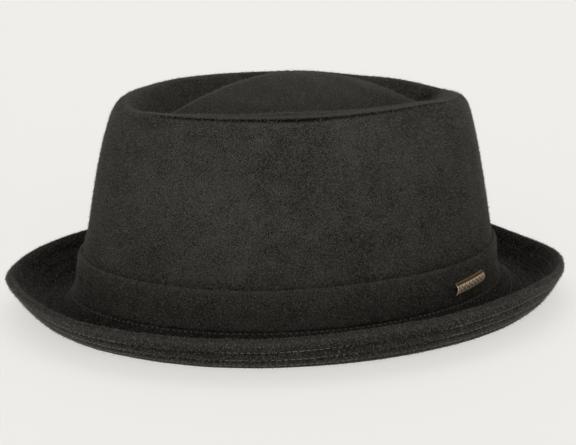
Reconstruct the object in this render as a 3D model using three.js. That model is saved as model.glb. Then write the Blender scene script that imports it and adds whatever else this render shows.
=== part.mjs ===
// A porkpie hat sewn from wool cloth: an oval side wall that leans in, a tip that rolls over the
// wall's top edge into a sunken groove with a raised diamond in its middle, a self-cloth band, a
// brim of two plies that curls up all round, and a small curved metal plate on the band.
// Millimetres, +Z up. The origin is on the surface that the hat rests on, under the middle of the
// brim. The front of the hat looks along -Y, and the wearer's left is +X.
import * as THREE from "three";

// The crown where it stands on the brim, over its own cloth.
const baseLength = 208.6;
const baseWidth = 175.6;
const sideHeight = 91.0;
// How far the side wall leans in from its foot to the seam with the tip, and how far its shoulder
// rounds in besides, just under the seam.
const leanFront = 16.2;
const leanSides = 10.6;
const leanBack = 14.4;
const shoulderFront = 2.6;
const shoulderSides = 0.8;
const shoulderBack = 1.8;
// Cloth thicknesses, and the gap between sewn pieces.
const sideCloth = 2.2;
const tipCloth = 1.6;
const bandCloth = 1.6;
const brimPly = 1.4;
const sewnGap = 0.3;
// The brim: how far its edge stands out from the crown's foot and up, how high the crown's foot
// stands, the level ledge outside the band, and the flat ring that the hat rests on.
const reachFront = 37.2;
const reachSide = 38.4;
const reachBack = 33.0;
const brimRise = 19.2;
const rootHeight = 6.9;
const rootLedge = 0.8;
const restWidth = 4.0;
// The band.
const bandHeight = 18.3;
const bandEdgeRound = 0.5;
// The tip: the rolled rim, the groove inside it and the diamond in the middle.
const rimLift = 0.8;
const rollFront = 6.8;
const rollSides = 8.2;
const rollBack = 5.6;
const grooveFrontInset = 12.5;
const grooveSideInset = 27.0;
const grooveBackInset = 13.0;
const grooveDepth = 16.0;
const diamondRise = 7.6;
// The metal plate on the band: its place round the hat in degrees from the front, how far its
// middle stands over the band's lower edge, and its tilt in degrees, higher at the back.
const plateLength = 24.6;
const plateWidth = 6.2;
const plateSheet = 0.7;
const plateBulge = 1.3;
const platePlace = 121.5;
const plateStand = 6.6;
const plateTilt = 4.4;

// How finely the cloth and the plate are cut into facets.
const aroundSteps = 64;
const wallShares = [0, 0.35, 0.7, 0.9, 1];
const dropSteps = 3;
const curlSteps = 5;
const rollSteps = 3;
const rimSteps = 5;
const diamondSteps = 5;
const plateLengthSteps = 6;
const plateWidthSteps = 4;

// The brim round the hat, from the front to the back: how high its edge stands, as a share of
// its rise, where the flat ring starts, as a share of its reach, and how the curl turns up.
const brimStations = [
  { angle: 0, rise: 1.07, rest: 0.3, curl: 1.8 },
  { angle: 30, rise: 0.9, rest: 0.32, curl: 1.8 },
  { angle: 60, rise: 0.89, rest: 0.36, curl: 1.9 },
  { angle: 90, rise: 1.03, rest: 0.36, curl: 2.0 },
  { angle: 120, rise: 1.12, rest: 0.38, curl: 2.2 },
  { angle: 150, rise: 0.9, rest: 0.4, curl: 2.2 },
  { angle: 180, rise: 0.7, rest: 0.4, curl: 2.0 },
];
// The crown's top round the hat: the wall's height and the groove's depth as shares of theirs at
// the sides, and the rim's lift as a share of its own.
const topStations = [
  { angle: 0, wall: 0.968, groove: 0.92, lift: 0.1 },
  { angle: 45, wall: 0.985, groove: 1.0, lift: 0.5 },
  { angle: 90, wall: 1.0, groove: 1.0, lift: 1.0 },
  { angle: 135, wall: 0.978, groove: 1.0, lift: 0.4 },
  { angle: 180, wall: 0.946, groove: 0.94, lift: 0.1 },
];
// The brim's drop from the crown to the ring: how far its slope leaves the crown along the run
// and down the height, and how far before the ring it levels out, as shares of that run.
const dropLeave = { run: 0.35, height: 0.6 };
const dropLevel = 0.4;
// The wall's lean and its shoulder grow with these powers of its height.
const leanPower = 1.4;
const shoulderPower = 9;
// The diamond's outline lies between a rhombus, at 1, and an oval, at 2.
const diamondRoundness = 1.35;
// The diamond's flanks lie between a cone, at 1, and a round dome, at 2.
const diamondFullness = 1.9;

const radians = Math.PI / 180;
const brimThickness = 2 * brimPly + sewnGap;
const crownFoot = rootHeight + brimThickness + sewnGap;
const crownSetback = (reachFront - reachBack) / 2;
const mix = (from, to, share) => from + (to - from) * share;
const steps = (count) => Array.from({ length: count + 1 }, (_, i) => i / count);
const angles = steps(aroundSteps).slice(0, aroundSteps).map((share) => 2 * Math.PI * share);

// A table's column at any angle round the hat, the same on both sides, with level joins.
function around(stations, column, angle) {
  const folded = Math.acos(Math.cos(angle)) / radians;
  const found = stations.findIndex((row) => row.angle >= folded - 1e-9);
  const to = stations[Math.max(1, found)];
  const from = stations[Math.max(1, found) - 1];
  const share = (folded - from.angle) / (to.angle - from.angle);
  return mix(from[column], to[column], (1 - Math.cos(Math.PI * share)) / 2);
}

// A point on an oval round the crown's axis, angle 0 at the front. The oval reaches its three
// sizes at the front, at the sides and at the back.
function ovalPoint(sizes, angle, z) {
  const cosine = Math.cos(angle);
  const along = cosine > 0 ? sizes.front : sizes.back;
  return new THREE.Vector3(sizes.side * Math.sin(angle), crownSetback - along * cosine, z);
}

// The oval of the crown's foot, with a length added at the front, at the sides and at the back.
function crownOval(front, side, back) {
  return {
    front: baseLength / 2 + front,
    side: baseWidth / 2 + side,
    back: baseLength / 2 + back,
  };
}

// A closed solid from rings of points. Each ring is a list of points round the hat. The rings go
// up the outer face and back down the inner one. Where the solid has a top, middles gives the
// two points that close it and the last ring of the outer face.
function solidFromRings(rings, middles = null) {
  const points = rings.flat();
  const count = rings[0].length;
  const faces = [];
  rings.forEach((_, row) => {
    const lower = row * count;
    const upper = ((row + 1) % rings.length) * count;
    const top = middles && row === middles.afterRing;
    for (let i = 0; i < count; i += 1) {
      const next = (i + 1) % count;
      if (top) {
        faces.push(lower + i, lower + next, points.length);
        faces.push(upper + next, upper + i, points.length + 1);
      } else {
        faces.push(lower + i, lower + next, upper + next);
        faces.push(lower + i, upper + next, upper + i);
      }
    }
  });
  if (middles) points.push(middles.outer, middles.inner);
  const geometry = new THREE.BufferGeometry();
  geometry.setFromPoints(points);
  geometry.setIndex(faces);
  geometry.computeVertexNormals();
  return geometry;
}

// A closed ring of cloth whose section, a list of points in order, is given at each angle.
function solidFromSections(sectionAt) {
  const sections = angles.map(sectionAt);
  return solidFromRings(sections[0].map((_, j) => sections.map((section) => section[j])));
}

// A section's line moved to its left, along its own normals.
function besideLine(line, distance) {
  return line.map((p, i) => {
    const before = line[Math.max(0, i - 1)];
    const after = line[Math.min(line.length - 1, i + 1)];
    const normal = new THREE.Vector2(before.y - after.y, after.x - before.x).normalize();
    return p.clone().addScaledVector(normal, distance);
  });
}

// The brim's section at one angle is drawn outwards from the crown's foot, x out and y up.
// Its underside starts level under the crown, drops to the flat ring and curls up to the edge.
function brimUnderside(angle, reach) {
  const rise = brimRise * around(brimStations, "rise", angle);
  const restStart = reach * around(brimStations, "rest", angle);
  const restEnd = restStart + restWidth;
  const curl = around(brimStations, "curl", angle);
  const rootEnd = sewnGap + bandCloth + rootLedge;
  const run = restStart - rootEnd;
  const drop = new THREE.CubicBezierCurve(
    new THREE.Vector2(rootEnd, rootHeight),
    new THREE.Vector2(rootEnd + run * dropLeave.run, rootHeight * dropLeave.height),
    new THREE.Vector2(restStart - run * dropLevel, 0),
    new THREE.Vector2(restStart, 0),
  );
  const curled = steps(curlSteps).map((s) => (
    new THREE.Vector2(mix(restEnd, reach, s), rise * s ** curl)
  ));
  return [new THREE.Vector2(-sideCloth, rootHeight), ...drop.getPoints(dropSteps), ...curled];
}

function brimPlySection(angle, low, high) {
  const foot = ovalPoint(crownOval(0, 0, 0), angle, 0);
  const outward = ovalPoint(crownOval(reachFront, reachSide, reachBack), angle, 0).sub(foot);
  const underside = brimUnderside(angle, outward.length());
  outward.normalize();
  const under = besideLine(underside, low);
  const over = besideLine(underside, high);
  return [...under, ...over.reverse()].map((p) => (
    foot.clone().addScaledVector(outward, p.x).setZ(p.y)
  ));
}

// The side wall's outer face at a share of its height, moved outwards by a distance.
function wallPoint(angle, share, distance) {
  const lean = share ** leanPower;
  const shoulder = share ** shoulderPower;
  const sizes = crownOval(
    distance - leanFront * lean - shoulderFront * shoulder,
    distance - leanSides * lean - shoulderSides * shoulder,
    distance - leanBack * lean - shoulderBack * shoulder,
  );
  const height = sideHeight * around(topStations, "wall", angle);
  return ovalPoint(sizes, angle, crownFoot + height * share);
}

// The share of the wall's height at which it reaches a height above the brim.
function wallShare(angle, z) {
  return (z - crownFoot) / (sideHeight * around(topStations, "wall", angle));
}

function crownSideSection(angle) {
  const outer = wallShares.map((share) => wallPoint(angle, share, 0));
  const inner = wallShares.map((share) => wallPoint(angle, share, -sideCloth));
  return [...outer, ...inner.reverse()];
}

// The band lies round the wall and stands on the brim. Its outer edges are eased.
function bandPoint(angle, z, distance) {
  return wallPoint(angle, wallShare(angle, z), sewnGap + distance);
}

function bandSection(angle) {
  const low = crownFoot;
  const high = crownFoot + bandHeight;
  return [
    bandPoint(angle, low, 0),
    bandPoint(angle, low, bandCloth - bandEdgeRound),
    bandPoint(angle, low + bandEdgeRound, bandCloth),
    bandPoint(angle, high - bandEdgeRound, bandCloth),
    bandPoint(angle, high, bandCloth - bandEdgeRound),
    bandPoint(angle, high, 0),
  ];
}

// The seam's oval, drawn in by a length at the front, at the sides and at the back.
function seamOval(front, side, back) {
  return crownOval(
    -leanFront - shoulderFront - front,
    -leanSides - shoulderSides - side,
    -leanBack - shoulderBack - back,
  );
}

// The bottom of the groove, round the diamond's foot.
function diamondPoint(angle) {
  const sizes = seamOval(grooveFrontInset, grooveSideInset, grooveBackInset);
  const along = Math.cos(angle) > 0 ? sizes.front : sizes.back;
  const sine = Math.abs(Math.sin(angle)) / sizes.side;
  const cosine = Math.abs(Math.cos(angle)) / along;
  const spread = (sine ** diamondRoundness + cosine ** diamondRoundness) ** (-1 / diamondRoundness);
  return ovalPoint({ front: spread, side: spread, back: spread }, angle, 0);
}

// The rim's roll along one angle, from the seam to its crest. The outer face has no inset and no
// drop, and the inner face lies one cloth in from it at the seam and one cloth below at the crest.
function rimRoll(angle, inset, drop) {
  const seam = wallPoint(angle, 1, -inset);
  const seamZ = seam.z + sewnGap;
  const crest = ovalPoint(seamOval(rollFront, rollSides, rollBack), angle, 0);
  const crestZ = seamZ + tipCloth + rimLift * around(topStations, "lift", angle) - drop;
  return steps(rollSteps).map((share) => {
    const turned = (Math.PI / 2) * share;
    const point = crest.clone().lerp(seam, Math.cos(turned));
    return point.setZ(mix(seamZ, crestZ, Math.sin(turned)));
  });
}

// The tip's outer face along one angle, from the seam over the rim, down to the groove and up the
// diamond's flank to the middle.
function tipLine(angle) {
  const roll = rimRoll(angle, 0, 0);
  const crest = roll[rollSteps];
  const groove = diamondPoint(angle);
  const middle = ovalPoint({ front: 0, side: 0, back: 0 }, angle, 0);
  const sideCrestZ = crownFoot + sideHeight + sewnGap + tipCloth + rimLift;
  const grooveZ = sideCrestZ - grooveDepth * around(topStations, "groove", angle);
  const middleZ = sideCrestZ + diamondRise;
  const fall = steps(rimSteps).slice(1).map((share) => {
    const fallen = (1 - Math.cos(Math.PI * share)) / 2;
    return crest.clone().lerp(groove, share).setZ(mix(crest.z, grooveZ, fallen));
  });
  const flank = steps(diamondSteps).slice(1).map((share) => {
    const climbed = 1 - (1 - share) ** diamondFullness;
    return groove.clone().lerp(middle, share).setZ(mix(grooveZ, middleZ, climbed));
  });
  return [...roll, ...fall, ...flank];
}

// Past the roll, the tip's inner face lies one cloth below the outer one along its normals.
function crownTip() {
  const lines = angles.map(tipLine);
  const innerRolls = angles.map((angle) => rimRoll(angle, sideCloth, tipCloth));
  const middle = lines[0].at(-1);
  const outerRings = lines[0].slice(0, -1).map((_, j) => lines.map((line) => line[j]));
  const innerRings = outerRings.map((ring, j) => ring.map((point, i) => {
    if (j <= rollSteps) return innerRolls[i][j];
    const ahead = ring[(i + 1) % aroundSteps];
    const behind = ring[(i + aroundSteps - 1) % aroundSteps];
    const across = ahead.clone().sub(behind);
    const along = lines[i][j + 1].clone().sub(lines[i][j - 1]);
    return point.clone().addScaledVector(across.cross(along).normalize(), -tipCloth);
  }));
  return solidFromRings([...outerRings, ...innerRings.reverse()], {
    afterRing: outerRings.length - 1,
    outer: middle,
    inner: middle.clone().setZ(middle.z - tipCloth),
  });
}

// The plate bulges outwards between its long edges and follows the band lengthways.
function plate() {
  const placed = platePlace * radians;
  const tilt = plateTilt * radians;
  const middleZ = crownFoot + plateStand;
  const probe = 1 * radians;
  const before = bandPoint(placed - probe, middleZ, bandCloth);
  const after = bandPoint(placed + probe, middleZ, bandCloth);
  const lengthPerRadian = after.distanceTo(before) / (2 * probe);
  const faceRings = (distance) => steps(plateWidthSteps).map((up) => {
    const v = plateWidth * (up - 0.5);
    const stand = plateBulge * Math.cos(Math.PI * (up - 0.5));
    return steps(plateLengthSteps).map((share) => {
      const u = plateLength * (share - 0.5);
      const z = middleZ + v * Math.cos(tilt) + u * Math.sin(tilt);
      const run = u * Math.cos(tilt) - v * Math.sin(tilt);
      const angle = placed + run / lengthPerRadian;
      return bandPoint(angle, z, bandCloth + sewnGap + stand + distance);
    });
  });
  const outer = faceRings(plateSheet);
  const inner = faceRings(0);
  return solidFromColumns(outer[0].map((_, i) => (
    [...outer.map((ring) => ring[i]), ...inner.map((ring) => ring[i]).reverse()]
  )));
}

// A closed bar from its cross-sections, capped at both ends. Each section has two matching
// halves, its outer face upwards and its inner face downwards.
function solidFromColumns(columns) {
  const points = columns.flat();
  const size = columns[0].length;
  const faces = [];
  for (let i = 0; i + 1 < columns.length; i += 1) {
    for (let j = 0; j < size; j += 1) {
      const near = i * size + j;
      const above = i * size + ((j + 1) % size);
      faces.push(near, near + size, above + size);
      faces.push(near, above + size, above);
    }
  }
  const last = (columns.length - 1) * size;
  for (let j = 0; j + 1 < size / 2; j += 1) {
    const outerLow = j;
    const outerHigh = j + 1;
    const innerLow = size - 1 - j;
    const innerHigh = size - 2 - j;
    faces.push(outerLow, outerHigh, innerHigh, outerLow, innerHigh, innerLow);
    faces.push(last + outerLow, last + innerHigh, last + outerHigh);
    faces.push(last + outerLow, last + innerLow, last + innerHigh);
  }
  const geometry = new THREE.BufferGeometry();
  geometry.setFromPoints(points);
  geometry.setIndex(faces);
  geometry.computeVertexNormals();
  return geometry;
}

const wool = { color: 0x2b2a27, roughness: 0.95, metalness: 0 };
const brass = { color: 0x8c6a3c, roughness: 0.4, metalness: 1 };

function piece(name, geometry, finish) {
  const mesh = new THREE.Mesh(geometry, new THREE.MeshStandardMaterial(finish));
  mesh.name = name;
  return mesh;
}

const hat = new THREE.Group();
hat.name = "porkpie_hat";
hat.add(
  piece("brim_under", solidFromSections((angle) => brimPlySection(angle, 0, brimPly)), wool),
  piece(
    "brim_upper",
    solidFromSections((angle) => brimPlySection(angle, brimPly + sewnGap, brimThickness)),
    wool,
  ),
  piece("crown_side", solidFromSections(crownSideSection), wool),
  piece("crown_tip", crownTip(), wool),
  piece("band", solidFromSections(bandSection), wool),
  piece("badge", plate(), brass),
);

export default hat;
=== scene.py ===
"""A porkpie hat of charcoal wool cloth, and the studio that it stands in.

The pieces follow the same named sizes as the solids that they stand for. Lengths are in metres.
The front of the hat looks along -Y, and the wearer's left is +X. Angles go round from the front.
"""

from math import comb, cos, hypot, pi, radians, sin, sqrt

import bpy
import numpy as np
from bpy.props import FloatProperty, FloatVectorProperty, IntProperty, PointerProperty
from mathutils import Matrix, Vector


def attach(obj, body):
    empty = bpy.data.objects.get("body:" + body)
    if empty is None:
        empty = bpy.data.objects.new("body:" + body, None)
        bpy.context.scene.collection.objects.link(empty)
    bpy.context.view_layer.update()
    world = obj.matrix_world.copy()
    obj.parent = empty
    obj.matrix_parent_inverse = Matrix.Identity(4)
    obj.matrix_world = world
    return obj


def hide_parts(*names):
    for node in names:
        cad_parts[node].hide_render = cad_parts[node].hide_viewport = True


bl_info = {
    "name": "Porkpie hat",
    "version": (1, 0, 0),
    "blender": (4, 5, 0),
    "location": "3D View > Sidebar > Hat",
    "description": "Makes a porkpie hat of wool cloth over its frame, and a studio for it",
    "category": "Object",
}

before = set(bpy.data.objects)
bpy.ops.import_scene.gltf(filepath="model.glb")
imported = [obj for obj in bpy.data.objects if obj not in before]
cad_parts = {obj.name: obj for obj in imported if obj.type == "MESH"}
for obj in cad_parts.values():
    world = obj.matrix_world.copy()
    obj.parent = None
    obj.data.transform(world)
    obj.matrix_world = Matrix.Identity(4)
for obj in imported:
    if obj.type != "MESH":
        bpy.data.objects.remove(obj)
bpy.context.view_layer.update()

MM = 0.001
TURN = 2 * pi
NO_LENGTHS = (0, 0, 0)
# Steps along the profile of the crown's top: over the rim, down to the groove, up the diamond.
ROLL, FALL, FLANK = 12, 26, 28
# The puckers along the seam: fewest and most cycles round the hat, and the seed.
PUCKERS = (95, 150, 5)
# Angles at which the lines of stitches are worked out.
FINE = 1440
# The light's colour on the floor and in the panels.
LIGHT = (1.0, 0.985, 0.95)

# The brim round the hat: degrees from the front, then its edge's height as a share of the rise,
# where the flat ring starts as a share of the reach, and the power with which the curl turns up.
BRIM_STATIONS = np.array([
    (0, 1.07, 0.30, 1.8),
    (30, 0.90, 0.32, 1.8),
    (60, 0.89, 0.36, 1.9),
    (90, 1.03, 0.36, 2.0),
    (120, 1.12, 0.38, 2.2),
    (150, 0.90, 0.40, 2.2),
    (180, 0.70, 0.40, 2.0),
])
# The crown's top round the hat: degrees from the front, then the wall's height, the groove's
# depth and the rim's lift, each as a share of its own at the sides, and the seam's climb up the
# rim as a share of that at the front.
TOP_STATIONS = np.array([
    (0, 0.968, 0.92, 0.1, 1.0),
    (45, 0.985, 1.00, 0.5, 0.42),
    (68, 0.994, 1.00, 0.8, 0.12),
    (112, 0.988, 1.00, 0.7, 0.72),
    (145, 0.963, 1.00, 0.3, 0.85),
    (180, 0.945, 0.94, 0.1, 0.9),
])

# The studio's soft round panels: degrees round from the camera, degrees up, the half widths of the
# even middle and of the whole panel, and the strength.
PANELS = (
    (30, 0, 14, 36, 1.25),
    (-34, 0, 12, 34, 0.66),
    (2, 14, 16, 48, 0.88),
    (-42, 46, 12, 36, 0.45),
    (34, 46, 12, 34, 0.15),
    (0, 90, 16, 40, 0.35),
    (180, 50, 18, 50, 0.62),
    (113, 22, 6, 18, 0.35),
)


def length(description, millimetres):
    """A size that the user may change, given in millimetres and kept in metres."""
    return FloatProperty(
        description=description, default=millimetres * MM, min=0.0, precision=5, unit="LENGTH"
    )


def lengths_round(description, *millimetres):
    """Three such sizes, at the front, the sides and the back of the hat."""
    return FloatVectorProperty(
        description=f"{description} at the front, the sides and the back",
        default=[size * MM for size in millimetres],
        size=3, min=0.0, precision=5, unit="LENGTH",
    )


def share(description, default, high=1.0):
    """A plain number that the user may change."""
    return FloatProperty(description=description, default=default, min=0.0, max=high)


def turn(description, degrees):
    """An angle that the user may change, given in degrees."""
    return FloatProperty(description=description, default=radians(degrees), unit="ROTATION")


def colour(description, default):
    """A colour that the user may change."""
    return FloatVectorProperty(
        description=description, default=default, size=3, min=0.0, max=1.0, subtype="COLOR"
    )


def named(group):
    """Names each property of a group after its key."""
    for key, given in group.__annotations__.items():
        given.keywords["name"] = key.replace("_", " ").capitalize()
    return group


@named
class HatCrown(bpy.types.PropertyGroup):
    base_length: length("Length of the crown's foot outside", 208.6)
    base_width: length("Width of the crown's foot outside", 175.6)
    side_height: length("Height of the side wall up to its seam", 91.0)
    lean: lengths_round("How far the wall leans in", 16.2, 10.6, 14.4)
    shoulder: lengths_round("How far the shoulder rounds in", 2.6, 0.8, 1.8)
    lean_power: share("How late the wall starts to lean in", 1.4, 20.0)
    shoulder_power: share("How late the shoulder starts", 9.0, 20.0)
    side_cloth: length("Thickness of the side wall's cloth", 2.2)
    tip_cloth: length("Thickness of the tip's cloth", 1.6)
    sewn_gap: length("Gap between sewn pieces", 0.3)
    rim_lift: length("How far the rim's crest rises over its seam at the sides", 0.8)
    roll: lengths_round("Width of the rim's roll", 6.8, 8.2, 5.6)
    groove: lengths_round("How far in the groove lies", 12.5, 27.0, 13.0)
    groove_depth: length("Depth of the groove below the rim", 16.0)
    diamond_rise: length("Height of the diamond over the rim", 7.6)
    diamond_roundness: share("1 is a rhombus and 2 an oval", 1.35, 4.0)
    diamond_fullness: share("1 is a cone and 2 a round dome", 1.9, 4.0)
    waviness: length("How far the wall's cloth swells in and out", 0.45)
    pucker: length("How far the cloth puckers along the seam", 0.2)
    seam_round: length("How far the cloth turns in at the seam", 0.9)
    corner_round: length("How softly the crown turns over at its top", 3.6)
    seam_climb: length("How far up the rim the seam lies at the front", 4.2)


@named
class HatBrim(bpy.types.PropertyGroup):
    reach: lengths_round("Brim's reach from the crown's foot", 37.2, 38.4, 33.0)
    rise: length("Height of the brim's curled edge", 19.2)
    root_height: length("Height of the brim's underside at the crown", 6.9)
    root_ledge: length("Level part of the brim outside the band", 0.8)
    rest_width: length("Width of the flat ring that the hat rests on", 4.0)
    ply: length("Thickness of each of the brim's two plies", 1.4)
    edge_thin: length("How much each face draws in towards the edge", 0.45)
    edge_run: length("How far from the edge the brim gets thin", 3.4)
    first_row: length("Distance of the first row of stitches from the edge", 6.6)
    row_pitch: length("Distance between rows of stitches", 6.2)
    rows: IntProperty(description="Rows of stitches", default=5, min=0, max=6)
    quilt: length("How deep the rows of stitches pull the cloth in", 0.28)
    quilt_width: length("Half width of the dip along a row of stitches", 1.1)
    waviness: length("How far the brim's cloth swells up and down", 0.3)


@named
class HatBand(bpy.types.PropertyGroup):
    height: length("Height of the band", 18.3)
    cloth: length("Thickness of the band's cloth", 1.6)
    fold: length("How far the folded top edge stands out", 0.15)
    crease: length("Depth of the soft crease above the band's foot", 0.4)
    crease_height: length("Height of the crease over the band's foot", 6.2)
    flare: length("How far the band's foot stands out", 0.5)
    front_flare: length("How much farther the foot stands out at the front", 3.2)


@named
class HatPlate(bpy.types.PropertyGroup):
    length: length("Length of the metal plate", 24.0)
    width: length("Width of the metal plate", 5.7)
    sheet: length("Thickness of the plate's metal", 0.7)
    bulge: length("How far the plate bulges outwards", 1.3)
    place: turn("Where the plate is round the hat, from the front", 121.8)
    stand: length("Height of the plate's middle over the band's foot", 7.7)
    tilt: turn("How far the plate tilts up towards the back", 3.2)
    relief: length("Depth of the engraved ornament", 0.16)
    figures: IntProperty(description="Lozenges in the ornament", default=7, min=1, max=15)
    metal: colour("Colour of the polished brass", (1.0, 0.82, 0.63))
    # Amber colour along the plate's upper long edge.
    amber: colour("Colour of the tarnished long edge", (0.25, 0.105, 0.028))
    patina: colour("Colour of the darkened recesses", (0.07, 0.035, 0.015))


@named
class HatStitches(bpy.types.PropertyGroup):
    pitch: length("Distance from one stitch to the next", 2.75)
    length: length("Length of a stitch on the outer face", 2.1)
    thickness: length("Thickness of the thread on the outer face", 0.36)
    dot_thickness: length("Thickness of the small stitches", 0.52)
    dot_length: length("Length of the small stitches on the inner face", 0.9)
    root_row: length("Distance of the row at the band's foot from the crown", 3.3)
    thread: colour("Colour of the thread", (0.17, 0.158, 0.135))


@named
class HatCloth(bpy.types.PropertyGroup):
    crown: colour("Colour of the crown's wool", (0.0400, 0.0373, 0.0328))
    # The band is of the crown's wool; its darker tone is painted shade.
    band: colour("Colour of the band's wool", (0.0330, 0.0308, 0.0270))
    # The brim is of the crown's wool; its much darker tone is painted shade.
    brim: colour("Colour of the brim's wool", (0.0170, 0.0158, 0.0137))
    fibre: colour("Colour of the loose fibres", (0.175, 0.165, 0.150))
    speck: length("Size of the tufts that the nap makes", 0.75)
    nap_length: length("Length of the longest loose fibres", 1.5)
    nap_thickness: length("Thickness of a loose fibre", 0.2)
    nap_density: FloatProperty(
        description="Loose fibres on a square metre of cloth", default=900000.0, min=0.0
    )
    sheen: share("Strength of the soft sheen of the nap", 0.45)


@named
class HatStudio(bpy.types.PropertyGroup):
    floor: colour("Colour of the floor", (0.55, 0.55, 0.55))
    glow: share("Strength of the light that comes through the floor", 0.585, 10.0)
    ambient: share("Strength of the light from between the panels", 0.03, 10.0)
    brightness: share("Strength of all the panels, as a share of their own", 1.0, 20.0)
    azimuth: turn("Where the camera is round the hat, from the front", 65.06)
    elevation: turn("How high the camera looks down from", 13.77)
    roll: turn("How far the camera leans", -0.696)
    distance: length("From the camera to the point that it looks at", 701.3)
    lens: FloatProperty(description="Focal length in millimetres", default=88.4)


def unit(value):
    """A value kept from 0 to 1."""
    return np.clip(value, 0, 1)


def folded(angle):
    """Degrees from the front, the same on both sides."""
    return np.degrees(np.arccos(np.clip(np.cos(angle), -1, 1)))


def around(stations, column, angle):
    """A table's column at any angles round the hat, the same on both sides, with level joins."""
    degrees = folded(angle)
    places, values = stations[:, 0], stations[:, column]
    to = np.clip(np.searchsorted(places, degrees - 1e-9), 1, len(places) - 1)
    part = (degrees - places[to - 1]) / (places[to] - places[to - 1])
    return values[to - 1] + (values[to] - values[to - 1]) * (1 - np.cos(np.pi * part)) / 2


def angles(count):
    """Even angles once round the hat."""
    return np.arange(count) * (TURN / count)


def ripple(angle, low, high, seed):
    """A smooth random wave round the hat, from low to high cycles, about 1 at its strongest."""
    rng = np.random.default_rng(seed)
    cycles = np.arange(low, high + 1)
    sizes = rng.uniform(0.4, 1.0, len(cycles))
    phases = rng.uniform(0, TURN, len(cycles))
    wave = sum(s * np.cos(c * angle + p) for c, s, p in zip(cycles, sizes, phases))
    return wave / (1.8 * sqrt((sizes**2).sum() / 2))


def read_at(places, values, wanted):
    """Values in rows at even places, a column for each angle, read at each angle's own place."""
    steps = (wanted - places[0]) / (places[1] - places[0])
    low = np.clip(steps.astype(int), 0, len(places) - 2)
    part = unit(steps - low)[..., None]
    column = np.arange(values.shape[1])
    return values[low, column] * (1 - part) + values[low + 1, column] * part


def lengths(lines):
    """How far along its line each point lies, from points given as (row, line, axis)."""
    steps = np.linalg.norm(np.diff(lines, axis=0), axis=2)
    return np.concatenate([np.zeros((1, lines.shape[1])), np.cumsum(steps, axis=0)])


def read_along(lines, run, wanted):
    """Points of lines at wanted distances, where run says how far along each point lies."""
    read = [
        [np.interp(wanted[:, i], run[:, i], lines[:, i, k]) for k in range(3)]
        for i in range(lines.shape[1])
    ]
    return np.array(read).transpose(2, 0, 1)


def begun_later(lines, start):
    """The same lines, each begun a distance along from its first point."""
    run = lengths(lines)
    return read_along(lines, run, start + (run[-1] - start) * run / run[-1])


def dip(distance, width):
    """1 at no distance, falling smoothly to 0 over a few widths."""
    return np.exp(-((distance / width) ** 2))


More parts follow.
